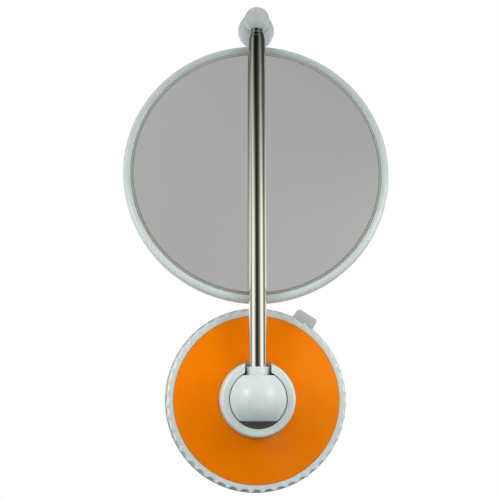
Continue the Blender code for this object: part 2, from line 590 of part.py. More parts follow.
def make_mirror_back():
    """Shallow rear shell, held by four screws, that clamps the tongue with two more."""
    back = facing("mirror_back", [
        (0, 0.0134), (0.0400, 0.0136), (0.0700, 0.0141), (0.0778, 0.0147), (0.0794, 0.0157),
        (0.0796, 0.0166), (0.0774, 0.0166), (0.0769, BACK_INSIDE), (0, BACK_INSIDE)],
        60, WHITE, TILT, MIRROR_PLACE)
    hole = countersink(0.0026, 0.0013, 0.0140, 0.0152, 0.0170)
    bmesh.ops.translate(hole, verts=hole.verts, vec=(0, BACK_SCREW_CIRCLE, 0))
    boolean(back, repeated(hole, BACK_SCREW_ANGLES), "DIFFERENCE")
    for height in TONGUE_SCREW_HEIGHTS:
        hole = countersink(0.0026, 0.0013, 0.0139, 0.0151, 0.0170)
        bmesh.ops.translate(hole, verts=hole.verts, vec=(0, height - MIRROR_HEIGHT, 0))
        boolean(back, hole, "DIFFERENCE")
    side = TONGUE_HALF + 0.0004
    notch = block((-side, 0.0735, BACK_INSIDE - 0.00015), (side, 0.085, 0.0175))
    boolean(back, notch, "DIFFERENCE")

    for number, angle in enumerate(BACK_SCREW_ANGLES, 1):
        x, z = clockwise(BACK_SCREW_CIRCLE, angle)
        facing(f"back_screw_{number}", flat_head_profile(0.0022, 0.0010, 0.0142, 0.0154, 0.0186), 10,
               STEEL, TILT, (x, 0, MIRROR_HEIGHT + z))
    for number, height in enumerate(TONGUE_SCREW_HEIGHTS, 1):
        facing(f"tongue_screw_{number}", flat_head_profile(0.0022, 0.0010, 0.0142, 0.0154, 0.0179), 10,
               STEEL, TILT, (0, 0, height))


make_suction_cup()
make_cup_insert()
make_plunger()
make_housing()
make_grip_ring()
make_cover()
make_socket()
make_base_ball()
make_tubes()
make_end_ball()
make_knuckle()
make_tilt_barrel()
make_mirror_frame()
make_glass()
make_mirror_back()
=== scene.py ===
# %% [markdown]
# # An extendable shaving mirror
# A round mirror hangs from a three-part chrome arm. The arm turns in a ball and socket on a suction
# base, and a scalloped ring round the base pulls the cup tight on the wall.
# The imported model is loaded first, because every piece made below takes its place from it.

# %% Load the frame
import json
import math
import bmesh
import bpy
from mathutils import Matrix, Vector

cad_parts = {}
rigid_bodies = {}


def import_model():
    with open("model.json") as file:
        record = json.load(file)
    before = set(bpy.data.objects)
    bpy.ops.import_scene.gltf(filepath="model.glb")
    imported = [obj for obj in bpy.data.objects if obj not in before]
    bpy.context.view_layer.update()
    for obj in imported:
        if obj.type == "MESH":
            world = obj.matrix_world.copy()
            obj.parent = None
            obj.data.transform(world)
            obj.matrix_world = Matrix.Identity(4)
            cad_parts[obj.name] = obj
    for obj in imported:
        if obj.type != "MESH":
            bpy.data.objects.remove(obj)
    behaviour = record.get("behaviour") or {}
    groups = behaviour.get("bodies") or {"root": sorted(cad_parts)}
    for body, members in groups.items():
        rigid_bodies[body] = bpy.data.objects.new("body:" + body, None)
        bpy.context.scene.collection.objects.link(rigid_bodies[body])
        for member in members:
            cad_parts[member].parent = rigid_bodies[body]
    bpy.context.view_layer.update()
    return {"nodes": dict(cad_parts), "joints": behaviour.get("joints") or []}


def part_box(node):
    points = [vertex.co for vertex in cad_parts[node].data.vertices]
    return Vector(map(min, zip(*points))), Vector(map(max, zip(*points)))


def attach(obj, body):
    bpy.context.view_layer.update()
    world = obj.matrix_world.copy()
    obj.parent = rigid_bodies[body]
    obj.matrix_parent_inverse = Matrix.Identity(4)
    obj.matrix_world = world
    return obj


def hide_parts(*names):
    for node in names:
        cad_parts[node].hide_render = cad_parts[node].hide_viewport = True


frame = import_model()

MM = 0.001
joint_at = {j["name"]: Vector(j["pos_m"]) / MM for j in frame["joints"] if "pos_m" in j}
print("joints at, mm:", {name: tuple(round(v, 2) for v in at) for name, at in joint_at.items()})


# %% [markdown]
# ## Measuring the frame
# The CAD boxes say where each thing is. The arm's axis, the mirror's centre and the two small joints
# at the top are read once here, in millimetres, and the pieces are made round them.

# %% Where things are
def middle(node):
    """The centre of a CAD node's box, in mm."""
    low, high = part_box(node)
    return (low + high) / 2 / MM


arm_axis = Vector((middle("outer_tube").x, middle("outer_tube").y, 0))
ball_depth = -arm_axis.y
mirror_at = middle("mirror_glass")
knuckle_at = joint_at["mirror_tilt"]
pivot_at = joint_at["mirror_swing"]
print("ball", round(ball_depth, 2), "mm from the wall; mirror centre", round(mirror_at.z, 2), "mm up")


# %% [markdown]
# ## Colours and nodes
# Paint and plastic charts give colours as sRGB hex, but the shader works in linear light, so one
# function turns one into the other. A second function adds any node with its settings and links.

# %% Helpers for finishes
def linear(hex_colour):
    """An sRGB hex colour as linear RGBA."""
    parts = [int(hex_colour[i:i + 2], 16) / 255 for i in (1, 3, 5)]
    return [c / 12.92 if c <= 0.04045 else ((c + 0.055) / 1.055) ** 2.4 for c in parts] + [1]


def add(tree, kind, inputs=None, links=None, **settings):
    """Add a node: settings are its own options, inputs are numbers, links come from other outputs."""
    node = tree.nodes.new(kind)
    for name, value in settings.items():
        setattr(node, name, value)
    for name, value in (inputs or {}).items():
        node.inputs[name].default_value = value
    for name, output in (links or {}).items():
        tree.links.new(output, node.inputs[name])
    return node


def ramp(node, stops):
    """Set a colour ramp's stops, each a place from 0 to 1 and a grey or a colour."""
    elements = node.color_ramp.elements
    while len(elements) < len(stops):
        elements.new(0.5)
    for element, (place, value) in zip(elements, stops):
        element.position = place
        element.color = value if isinstance(value, (list, tuple)) else (value, value, value, 1)


def start_finish(name, inputs):
    """A new material with its shader, and the object's own coordinates for the patterns."""
    material = bpy.data.materials.new(name)
    material.use_nodes = True
    tree = material.node_tree
    shader = tree.nodes["Principled BSDF"]
    for key, value in inputs.items():
        shader.inputs[key].default_value = value
    place = add(tree, "ShaderNodeTexCoord").outputs["Object"]
    return material, tree, shader, place


# %% [markdown]
# ## Moulded ABS
# The white and the orange pieces are injection-moulded ABS from polished tools. ABS has an IOR near
# 1.54. What the eye gets is a clean gloss that is a little soft, because the skin has a faint orange
# peel a few millimetres wide and a very fine grain. Noise at those two real sizes goes into the bump,
# and a slow noise moves the roughness the way handling does.

# %% ABS finishes
def moulded_abs(name, light, deep, roughness, depth_of_light, gloss):
    """Injection-moulded ABS between two close colours; light soaks in by a depth in metres."""
    material, tree, shader, place = start_finish(name, {
        "IOR": 1.54, "Specular IOR Level": gloss, "Subsurface Weight": 0.35,
        "Subsurface Radius": (1.0, 1.0, 1.0), "Subsurface Scale": depth_of_light})
    drift = add(tree, "ShaderNodeTexNoise", {"Scale": 1 / 0.030, "Detail": 3.0}, {"Vector": place})
    tint = add(tree, "ShaderNodeValToRGB", links={"Fac": drift.outputs["Fac"]})
    ramp(tint, [(0.3, linear(deep)), (0.7, linear(light))])
    tree.links.new(tint.outputs["Color"], shader.inputs["Base Color"])

    handling = add(tree, "ShaderNodeTexNoise", {"Scale": 1 / 0.009, "Detail": 6.0, "Roughness": 0.6},
                   {"Vector": place})
    sheen = add(tree, "ShaderNodeMapRange", {"From Min": 0.3, "From Max": 0.7,
                                             "To Min": roughness - 0.035, "To Max": roughness + 0.045},
                {"Value": handling.outputs["Fac"]})
    tree.links.new(sheen.outputs["Result"], shader.inputs["Roughness"])

    peel = add(tree, "ShaderNodeTexNoise", {"Scale": 1 / 0.0028, "Detail": 1.0}, {"Vector": place})
    grain = add(tree, "ShaderNodeTexNoise", {"Scale": 1 / 0.0005, "Detail": 2.0}, {"Vector": place})
    wavy = add(tree, "ShaderNodeBump", {"Distance": 0.000003}, {"Height": peel.outputs["Fac"]})
    fine = add(tree, "ShaderNodeBump", {"Distance": 0.0000003},
               {"Height": grain.outputs["Fac"], "Normal": wavy.outputs["Normal"]})
    tree.links.new(fine.outputs["Normal"], shader.inputs["Normal"])
    return material


white_abs = moulded_abs("moulded_white_abs", "#DBE4DF", "#D5DEDA", 0.27, 0.0018, 0.5)
orange_abs = moulded_abs("moulded_orange_abs", "#FF8A00", "#FF8300", 0.22, 0.0010, 0.08)
print("ABS finishes:", white_abs.name, orange_abs.name)


# %% [markdown]
# ## Chrome plate on brass tube
# The arm is drawn brass tube, polished along its length, then nickel and chrome plated. Chrome is a
# metal, so it has no body colour, only a tinted mirror. Faint lengthwise draw lines, 0.25 mm apart
# here so that they show, break the streaks slightly, and finger marks raise the roughness in patches.

# %% Metal finishes
def metal(name, colour, roughness, spread, line_size, line_depth):
    """A metal with finishing lines of a size given as x, y, z in metres."""
    material, tree, shader, place = start_finish(name, {"Base Color": linear(colour), "Metallic": 1.0})
    marks = add(tree, "ShaderNodeTexNoise", {"Scale": 1 / 0.006, "Detail": 5.0}, {"Vector": place})
    blur = add(tree, "ShaderNodeMapRange", {"From Min": 0.35, "From Max": 0.75, "To Min": roughness,
                                            "To Max": roughness + spread}, {"Value": marks.outputs["Fac"]})
    tree.links.new(blur.outputs["Result"], shader.inputs["Roughness"])
    stretched = add(tree, "ShaderNodeMapping", {"Scale": [1 / size for size in line_size]},
                    {"Vector": place})
    lines = add(tree, "ShaderNodeTexNoise", {"Scale": 1.0, "Detail": 2.0},
                {"Vector": stretched.outputs["Vector"]})
    bump = add(tree, "ShaderNodeBump", {"Distance": line_depth}, {"Height": lines.outputs["Fac"]})
    tree.links.new(bump.outputs["Normal"], shader.inputs["Normal"])
    return material


chrome = metal("chrome_plated_brass", "#DEDFD0", 0.035, 0.05, (0.00025, 0.00025, 0.040), 0.0000003)
zinc = metal("zinc_plated_steel", "#B4B8BE", 0.3, 0.12, (0.0004, 0.0004, 0.0004), 0.000006)
brass = metal("turned_brass", "#C8A558", 0.24, 0.1, (0.0008, 0.0002, 0.0008), 0.000004)
print("metals:", chrome.name, zinc.name, brass.name)


# %% [markdown]
# ## Silvered glass
# The mirror is float glass silvered on the back. From the front the silver gives a near-perfect
# mirror with the slightest green, so it is a metal with almost no roughness. Wiping leaves broad
# smears, which only show as a change in sharpness. The bevel and the ground edge have no silver
# behind them, so the glass shows its own pale green there, and the silver's sealed edge is an olive line.

# %% Glass finishes
silvered_glass, tree, shader, place = start_finish("silvered_float_glass", {
    "Base Color": linear("#F0F0EF"), "Metallic": 1.0})
smears = add(tree, "ShaderNodeTexNoise", {"Scale": 1 / 0.035, "Detail": 4.0, "Distortion": 1.5},
             {"Vector": place})
wiped = add(tree, "ShaderNodeMapRange", {"From Min": 0.45, "From Max": 0.8, "To Min": 0.012, "To Max": 0.05},
            {"Value": smears.outputs["Fac"]})
tree.links.new(wiped.outputs["Result"], shader.inputs["Roughness"])

bare_glass, tree, shader, place = start_finish("ground_float_glass_edge", {
    "Base Color": linear("#D6E2D4"), "IOR": 1.52})
grind = add(tree, "ShaderNodeTexNoise", {"Scale": 1 / 0.0006, "Detail": 2.0}, {"Vector": place})
ground = add(tree, "ShaderNodeMapRange", {"To Min": 0.25, "To Max": 0.45}, {"Value": grind.outputs["Fac"]})
tree.links.new(ground.outputs["Result"], shader.inputs["Roughness"])

silver_edge, tree, shader, place = start_finish("sealed_silver_edge", {"Roughness": 0.35})
speckle = add(tree, "ShaderNodeTexNoise", {"Scale": 1 / 0.0015, "Detail": 2.0}, {"Vector": place})
olive = add(tree, "ShaderNodeValToRGB", links={"Fac": speckle.outputs["Fac"]})
ramp(olive, [(0.35, linear("#9A9D7C")), (0.65, linear("#ABAD88"))])
tree.links.new(olive.outputs["Color"], shader.inputs["Base Color"])
print("glass finishes:", silvered_glass.name, bare_glass.name, silver_edge.name)


# %% [markdown]
# ## Soft PVC, acetal and foam
# The cup is plasticised PVC, IOR 1.53. It lets light through but scatters it, so it looks like milky
# grey jelly; its sideways-facing edge is painted darker, as painted shade for the dark outline that a
# thin clear edge shows. The sliding parts are natural acetal, a waxy white. The tape behind the glass
# is foam. The inner wall of the socket's mouth is painted dark navy, as painted shade in the gap round the
# ball.

# %% Soft and waxy finishes
soft_pvc, tree, shader, place = start_finish("plasticised_pvc", {
    "Base Color": linear("#D3DAD7"), "IOR": 1.53, "Transmission Weight": 0.1,
    "Subsurface Weight": 0.3, "Subsurface Scale": 0.003})
bloom = add(tree, "ShaderNodeTexNoise", {"Scale": 1 / 0.004, "Detail": 5.0}, {"Vector": place})
dulled = add(tree, "ShaderNodeMapRange", {"To Min": 0.2, "To Max": 0.4}, {"Value": bloom.outputs["Fac"]})
ripple = add(tree, "ShaderNodeBump", {"Distance": 0.00002}, {"Height": bloom.outputs["Fac"]})
tree.links.new(dulled.outputs["Result"], shader.inputs["Roughness"])
tree.links.new(ripple.outputs["Normal"], shader.inputs["Normal"])

# Painted shade: this darker grey on the cup's sideways-facing edge stands in for its dark outline.
pvc_rim_shade, tree, shader, place = start_finish("pvc_rim_painted_shade", {"IOR": 1.53, "Roughness": 0.5})
rim_shade_noise = add(tree, "ShaderNodeTexNoise", {"Scale": 1 / 0.002, "Detail": 3.0}, {"Vector": place})
rim_shade_greys = add(tree, "ShaderNodeValToRGB", links={"Fac": rim_shade_noise.outputs["Fac"]})
ramp(rim_shade_greys, [(0.35, linear("#7C8483")), (0.65, linear("#8C9493"))])
tree.links.new(rim_shade_greys.outputs["Color"], shader.inputs["Base Color"])

acetal, tree, shader, place = start_finish("natural_acetal", {
    "Base Color": linear("#E2E4DC"), "IOR": 1.48, "Subsurface Weight": 0.2, "Subsurface Scale": 0.001})
wax = add(tree, "ShaderNodeTexNoise", {"Scale": 1 / 0.001, "Detail": 3.0}, {"Vector": place})
slip = add(tree, "ShaderNodeMapRange", {"To Min": 0.32, "To Max": 0.48}, {"Value": wax.outputs["Fac"]})
tree.links.new(slip.outputs["Result"], shader.inputs["Roughness"])

foam, tree, shader, place = start_finish("foam_tape", {
    "Base Color": linear("#2E2F30"), "Roughness": 0.9})
cells = add(tree, "ShaderNodeTexVoronoi", {"Scale": 1 / 0.0004}, {"Vector": place})
pores = add(tree, "ShaderNodeBump", {"Distance": 0.0001}, {"Height": cells.outputs["Distance"]})
tree.links.new(pores.outputs["Normal"], shader.inputs["Normal"])

# Painted shade: this dark navy on the collar's inner wall stands in for the shade in the gap round the ball.
socket_gap_shade, tree, shader, place = start_finish("painted_socket_shade", {
    "Base Color": linear("#141B2A"), "IOR": 1.52, "Specular IOR Level": 0.2})
socket_shade_noise = add(tree, "ShaderNodeTexNoise", {"Scale": 1 / 0.0008, "Detail": 3.0}, {"Vector": place})
socket_shade_roughness = add(tree, "ShaderNodeMapRange", {"To Min": 0.5, "To Max": 0.7}, {"Value": socket_shade_noise.outputs["Fac"]})
tree.links.new(socket_shade_roughness.outputs["Result"], shader.inputs["Roughness"])
print("soft finishes:", soft_pvc.name, pvc_rim_shade.name, acetal.name, foam.name, socket_gap_shade.name)


# %% [markdown]
# ## Shapes from outlines
# Nearly every piece is turned or moulded round an axis, so the main tool spins an outline like a
# lathe. Real edges are never sharp, and a small radius is what catches the light, so each corner of
# an outline carries its own fillet. Where a slot or hole breaks the round shape, a boolean cuts it.

# %% Helpers for shapes
def rounded(corners, steps=5):
    """Round the corners (x, y, radius) of a closed outline, in mm, and give its (x, y) points."""
    points = []
    for i, (x, y, radius) in enumerate(corners):
        here = Vector((x, y))
        if not radius:
            points.append((x, y))
            continue
        back = (Vector(corners[i - 1][:2]) - here).normalized()
        ahead = (Vector(corners[(i + 1) % len(corners)][:2]) - here).normalized()
        half = back.angle(ahead) / 2
        reach = radius / math.tan(half)
        centre = here + (back + ahead).normalized() * radius / math.sin(half)
        first, last = here + back * reach - centre, here + ahead * reach - centre
        start = math.atan2(first.y, first.x)
        turn = (math.atan2(last.y, last.x) - start + math.pi) % math.tau - math.pi
        for k in range(steps + 1):
            angle = start + turn * k / steps
            points.append((centre.x + radius * math.cos(angle), centre.y + radius * math.sin(angle)))
    return points


def arc(centre, radius, start, stop, steps):
    """(x, y) points on a circle between two angles in degrees."""
    angles = [math.radians(start + (stop - start) * i / steps) for i in range(steps + 1)]
    return [(centre[0] + radius * math.cos(a), centre[1] + radius * math.sin(a)) for a in angles]


def turned(outline, segments=128):
    """Spin an outline of (radius, height) points about z."""
    shape = bmesh.new()
    points = [shape.verts.new((radius, 0, height)) for radius, height in outline]
    pairs = list(zip(points, points[1:]))
    if outline[0][0] > 0 or outline[-1][0] > 0:
        pairs.append((points[-1], points[0]))
    edges = [shape.edges.new(pair) for pair in pairs]
    bmesh.ops.spin(shape, geom=points + edges, cent=(0, 0, 0), axis=(0, 0, 1), angle=math.tau,
                   steps=segments, use_merge=True)
    bmesh.ops.remove_doubles(shape, verts=shape.verts, dist=1e-5)
    bmesh.ops.recalc_face_normals(shape, faces=shape.faces)
    return shape


def lofted(sections, closed=False):
    """Join outlines of equal point counts in turn, round to the first if closed."""
    shape = bmesh.new()
    loops = [[shape.verts.new(point) for point in section] for section in sections]
    for near, far in zip(loops, loops[1:] + (loops[:1] if closed else [])):
        for i in range(len(near)):
            j = (i + 1) % len(near)
            shape.faces.new((near[i], near[j], far[j], far[i]))
    if not closed:
        shape.faces.new(loops[0])
        shape.faces.new(loops[-1][::-1])
    bmesh.ops.recalc_face_normals(shape, faces=shape.faces)
    return shape


def moved(shape, turn=None, by=(0, 0, 0)):
    """Turn a shape by (degrees, axis) about the origin, then shift it."""
    if turn:
        bmesh.ops.rotate(shape, verts=shape.verts, matrix=Matrix.Rotation(math.radians(turn[0]), 3, turn[1]))
    bmesh.ops.translate(shape, verts=shape.verts, vec=by)
    return shape


def to_mesh(shape, name):
    mesh = bpy.data.meshes.new(name)
    shape.to_mesh(mesh)
    shape.free()
    return mesh


def carved(shape, tool, operation="DIFFERENCE"):
    """The shape with the tool cut away from it, or joined to it."""
    blank, cutter = [bpy.data.objects.new(name, to_mesh(part, name))
                     for name, part in (("blank", shape), ("cutter", tool))]
    for thing in (blank, cutter):
        bpy.context.scene.collection.objects.link(thing)
    step = blank.modifiers.new("cut", "BOOLEAN")
    step.operation, step.object, step.solver = operation, cutter, "EXACT"
    bpy.context.view_layer.update()
    done = bpy.data.meshes.new_from_object(blank.evaluated_get(bpy.context.evaluated_depsgraph_get()))
    result = bmesh.new()
    result.from_mesh(done)
    for thing in (blank, cutter):
        bpy.data.objects.remove(thing)
    bpy.data.meshes.remove(done)
    return result


def out_from_wall(shape, x=0.0, up=0.0):
    """Stand a shape made round z on the wall: its z becomes the distance out from the wall."""
    return moved(shape, (90, "X"), (x, 0, up))


# %% [markdown]
# ## From shape to piece
# A finished shape becomes an object in metres, with smooth shading that keeps the true edges. It
# rides on a CAD body, stands for the CAD nodes it replaces, and carries its materials.

# %% Making a piece
def piece(name, shape, looks, body, nodes=(), edge=0.0, pick=None):
    """Give a shape in mm its finish and its body; edge rounds cut edges, pick sorts faces to looks."""
    bmesh.ops.scale(shape, verts=shape.verts, vec=(MM, MM, MM))
    looks = looks if isinstance(looks, list) else [looks]
    mesh = to_mesh(shape, name)
    for look in looks:
        mesh.materials.append(look)
    if pick:
        for face in mesh.polygons:
            face.material_index = pick(face)
    mesh.shade_smooth()
    mesh.set_sharp_from_angle(angle=math.radians(38))
    made = bpy.data.objects.new(name, mesh)
    bpy.context.scene.collection.objects.link(made)
    if edge:
        soften = made.modifiers.new("soft_edges", "BEVEL")
        soften.width, soften.segments, soften.limit_method = edge * MM, 3, "ANGLE"
        soften.angle_limit = math.radians(40)
        soften.harden_normals = True
    even = made.modifiers.new("even_shading", "WEIGHTED_NORMAL")
    even.keep_sharp = True
    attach(made, body)
    if nodes:
        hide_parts(*nodes)
    size = [round(v * 1000, 1) for v in made.dimensions]
    print(f"{name}: {size} mm, {len(mesh.polygons)} faces")
    return made


# %% [markdown]
# ## The suction cup
# A soft disc with a thin lip. Its wall side is a shallow dish with two low sealing beads, so that a
# thin edge meets the tile first. A flat tab lets a finger lift that edge. The dish is turned and the
# tab, a rounded tongue, is joined to it, because the real cup is moulded in one.

# %% Suction cup
def make_suction_cup():
    def dish(radius):
        beads = sum(math.exp(-((radius - centre) / 0.7) ** 2) for centre in (38, 44))
        return max(0.9 * (1 - (radius / 50) ** 2) - 0.12 * beads, 0)

    back = [(r / 2, dish(r / 2)) for r in range(0, 101)]
    front = rounded([(50.5, 0, 0), (53.7, 0, 0.12), (53.9, 0.6, 0.15), (53.6, 1.15, 0.2), (43, 1.9, 4),
                     (12, 2.6, 2), (9, 3.0, 0.5), (9, 5.2, 0.4), (3.6, 5.2, 0.2), (3.6, 1.6, 0.2),
                     (0, 1.6, 0)])
    disc = turned(back + front, 160)
    tab = rounded([(7, 49, 0), (7, 59.7, 2.2), (-7, 59.7, 2.2), (-7, 49, 0)], 8)
    tongue = lofted([[(x, y, z) for x, y in tab] for z in (0.3, 1.6)])
    bmesh.ops.bevel(tongue, geom=[e for e in tongue.edges if e.calc_face_angle(0) > 1], offset=0.35,
                    segments=3, affect="EDGES")
    cup = carved(disc, moved(tongue, (-32.5, "Z")), "UNION")

    def shaded_rim_faces(face):
        """1 for the faces of the outer edge, which look sideways and get the painted dark outline."""
        return int(face.center.xz.length > 0.0533 and face.normal.y > -0.7)

    piece("suction_cup_soft", out_from_wall(cup), [soft_pvc, pvc_rim_shade], "base",
          ["suction_cup"], pick=shaded_rim_faces)


make_suction_cup()


# %% [markdown]
# ## The grip ring
# Forty-eight thumbnail scoops run round the front edge, so that wet fingers can turn the ring. Each
# scoop is deepest at the front and fades towards the wall. The ring is built from many slices, each
# with its own outer radius, because a boolean with forty-eight cutters would leave ragged edges.

# %% Grip ring
def make_grip_ring():
    scoops, slices = 48, 20
    back, step, front = 3.9, 12.4, 14.0
    bore, seat = 46.4, 48.1
    wide, deep = 0.385, 1.6

    def slice_at(turn):
        along = (turn + 0.5) % 1 - 0.5
        moon = math.sqrt(max(0.0, 1 - (along / wide) ** 2))
        outer_back, outer_front = 52.8 - 0.2 * moon, 52.25 - deep * moon
        outer_low = 52.6 - 0.5 * moon
        outline = rounded([(bore, back, 0), (outer_back, back, 0.4), (outer_low, 9.5, 0),
                           (outer_front, front, 0.7), (seat, front, 0.25), (seat, step, 0),
                           (bore, step, 0)], 4)
        angle = math.tau * turn / scoops
        return [(r * math.sin(angle), r * math.cos(angle), z) for r, z in outline]

    ring = lofted([slice_at(i / slices) for i in range(scoops * slices)], closed=True)
    piece("grip_ring_scalloped", out_from_wall(ring), white_abs, "ring", ["grip_ring"])


make_grip_ring()


# %% [markdown]
# ## The orange cover
# A shallow cone, highest at the middle, moulded in high-gloss orange. It is one turned outline with
# a soft outer edge and a crisp inner one, like a part from a polished tool.

# %% Cover disc
cover = turned(rounded([(22.1, 15.3, 0), (27, 15.3, 0), (46.5, 12.9, 0), (47.95, 12.9, 0.15),
                        (47.95, 14.12, 0.4), (22.1, 18.75, 0.3)], 6), 256)
piece("cover_cone_orange", out_from_wall(cover), orange_abs, "base", ["cover_disc"])


# %% [markdown]
# ## The socket collar
# The collar swivels and holds the ball in front. A U-shaped notch lets the arm tip forward from
# the folded place. The collar is turned with its spherical mouth, the notch is cut through one side,
# and the cut edges are softened as they come from a mould. The inner wall of the mouth is painted
# dark navy, as painted shade in the gap round the ball.

# %% Socket collar
def inside_mouth(face):
    """1 for faces of the collar's inner wall, which get the painted shade of the gap round the ball,
    otherwise 0.
    """
    wall_radius, wall_front = 0.01735, 0.0348
    lip_radius, lip_back = 0.01613, 0.03505
    x, depth, z = face.center.x, -face.center.y, face.center.z
    radius = math.hypot(x, z)
    inward = face.normal.x * x + face.normal.z * z < -0.3 * radius
    on_wall = radius < wall_radius and depth < wall_front and inward
    return int(on_wall or (radius < lip_radius and depth > lip_back))


def make_socket():
    d, ball_seat_radius = ball_depth, 16.95
    mouth = [(ball_seat_radius * math.cos(math.radians(a)), d + ball_seat_radius * math.sin(math.radians(a)))
             for a in (16.5, 13, 10, 7, 3.5, 0)]
    outside = rounded([(19.2, 13, 0), (25.3, 13, 0.3), (25.3, 15, 0.3), (22.0, 15, 0.2), (21.9, 20, 0),
                       (20.62, 35.5, 1.7), (16.15, 35.5, 0.05)], 7)
    collar = turned(outside + [(15.88, 35.2)] + mouth + [(17.2, 29), (17.2, 23.2), (19.2, 23.2)], 160)
    half = 7.4
    u_cut = [(half, 40)] + [(x, z) for x, z in arc((0, d), half, 0, -180, 24)] + [(-half, 40)]
    notch = lofted([[(x, y, z) for x, z in u_cut] for y in (8, 30)])
    collar = carved(collar, notch)
    # The second material paints the shade inside the socket's mouth.
    piece("socket_collar_soft_edged", out_from_wall(collar), [white_abs, socket_gap_shade], "socket",
          ["socket_collar"], edge=0.18, pick=inside_mouth)


make_socket()


# %% [markdown]
# ## The big ball
# The ball has flat ends, and a short neck that grips the outer tube. It is turned about the arm.
# The flat below shows as a straight edge over the dark of the socket.

# %% Base ball
def make_base_ball():
    radius, foot, flat, neck, top = 16.6, 11.75, 13.0, 6.45, 17.75
    low, high = (math.degrees(math.asin(height / radius)) for height in (-foot, flat))
    sphere = arc((0, 0), radius, low + 1.3, high - 1.6, 48)
    below, above = sphere[0][0], sphere[-1][0]
    outline = ([(6.9, -foot), (below - 0.6, -foot), (below - 0.25, -foot + 0.06)] + sphere
               + [(above - 0.35, flat - 0.06), (above - 0.7, flat), (neck + 0.2, flat), (neck, flat + 0.2)]
               + arc((neck - 0.5, top - 0.5), 0.5, 0, 90, 6)
               + [(5.55, top), (5.45, top - 0.1), (5.45, -9), (6.9, -9)])
    ball = turned(outline, 144)
    piece("big_ball_turned", moved(ball, by=arm_axis), white_abs, "ball", ["base_ball"])
    cap = turned(rounded([(0, -11.65, 0), (6.6, -11.65, 0.3), (6.6, -10.9, 0), (0, -10.9, 0)]), 64)
    piece("ball_cap_pressed", moved(cap, by=arm_axis), white_abs, "ball", ["ball_cap"])


make_base_ball()


# %% [markdown]
# ## The three tubes
# Each tube's mouth is rolled in until it just clears the next tube, which keeps the next one central
# and stops its bush from coming out. The roll is a smooth curve, so it is drawn as points on an
# ellipse. The outer tube is also drawn slightly narrower towards its mouth.

# %% Tubes
TAPER_LENGTH = 20


def make_tube(name, node, body, inner, outer, low, high, mouth, swage=0.0):
    """A tube whose top narrows by the swage, if any, then is rolled in to the radius of its mouth."""
    roll = outer - swage - mouth
    reach = roll * 3.6
    shoulder = [(mouth + roll * math.cos(math.radians(a)), high - reach + reach * math.sin(math.radians(a)))
                for a in range(0, 91, 9)]
    if swage:
        shoulder.insert(0, (outer, high - TAPER_LENGTH))
    inside = [(mouth, high - 0.12), (mouth + 0.02, high - 0.9),
              (inner, high - reach - TAPER_LENGTH * bool(swage))]
    if not roll:
        shoulder = [(outer, high - 0.1), (outer - 0.1, high)]
        inside = [(inner + 0.1, high), (inner, high - 0.1)]
    foot = [(inner, low + 0.1), (inner + 0.1, low), (outer - 0.1, low), (outer, low + 0.1)]
    tube = turned(foot + shoulder + inside, 128)
    piece(name, moved(tube, by=arm_axis), chrome, body, [node])


make_tube("outer_tube_rolled", "outer_tube", "arm_outer", 4.65, 5.15, -9.05, 216.6, 4.40, 0.33)
make_tube("middle_tube_rolled", "middle_tube", "arm_middle", 3.80, 4.30, 3.0, 219.4, 3.54)
make_tube("inner_tube_plain", "inner_tube", "arm_inner", 2.90, 3.40, 15.0, 221.6, 3.40)


# %% [markdown]
# ## The small ball
# It closes the arm's end and turns against the knuckle behind it. A blind bore below takes the tube.

# %% Small ball
def make_end_ball():
    d, radius, back = ball_depth, 7.65, 3.9
    start = -math.degrees(math.asin(back / radius))
    surface = [(r, d + z) for r, z in arc((0, 0), radius, start + 3, 90, 40)][:-1]
    base = [(0, d - back), (surface[0][0] - 0.45, d - back), (surface[0][0] - 0.1, d - back + 0.08)]
    ball = turned(base + surface + [(0, d + radius)], 112)
    ball = moved(ball, (90, "X"), (0, 0, pivot_at.z))
    bore = turned([(0, 214), (3.72, 214), (3.72, 221.9), (0, 221.9)], 96)
    ball = carved(ball, moved(bore, by=arm_axis))
    piece("small_ball_turned", ball, white_abs, "arm_inner", ["arm_end_ball"], edge=0.12)


make_end_ball()


# %% [markdown]
# ## The knuckle
# Two half shells are screwed together round a cross barrel. The slot in them lets the mirror's stem
# swing back from hanging straight down. Both halves are turned, hollowed by the barrel's shape and
# slotted; their softened meeting edges leave the fine parting line.

# %% Knuckle shells
KNUCKLE_SCREW_X = 7.7


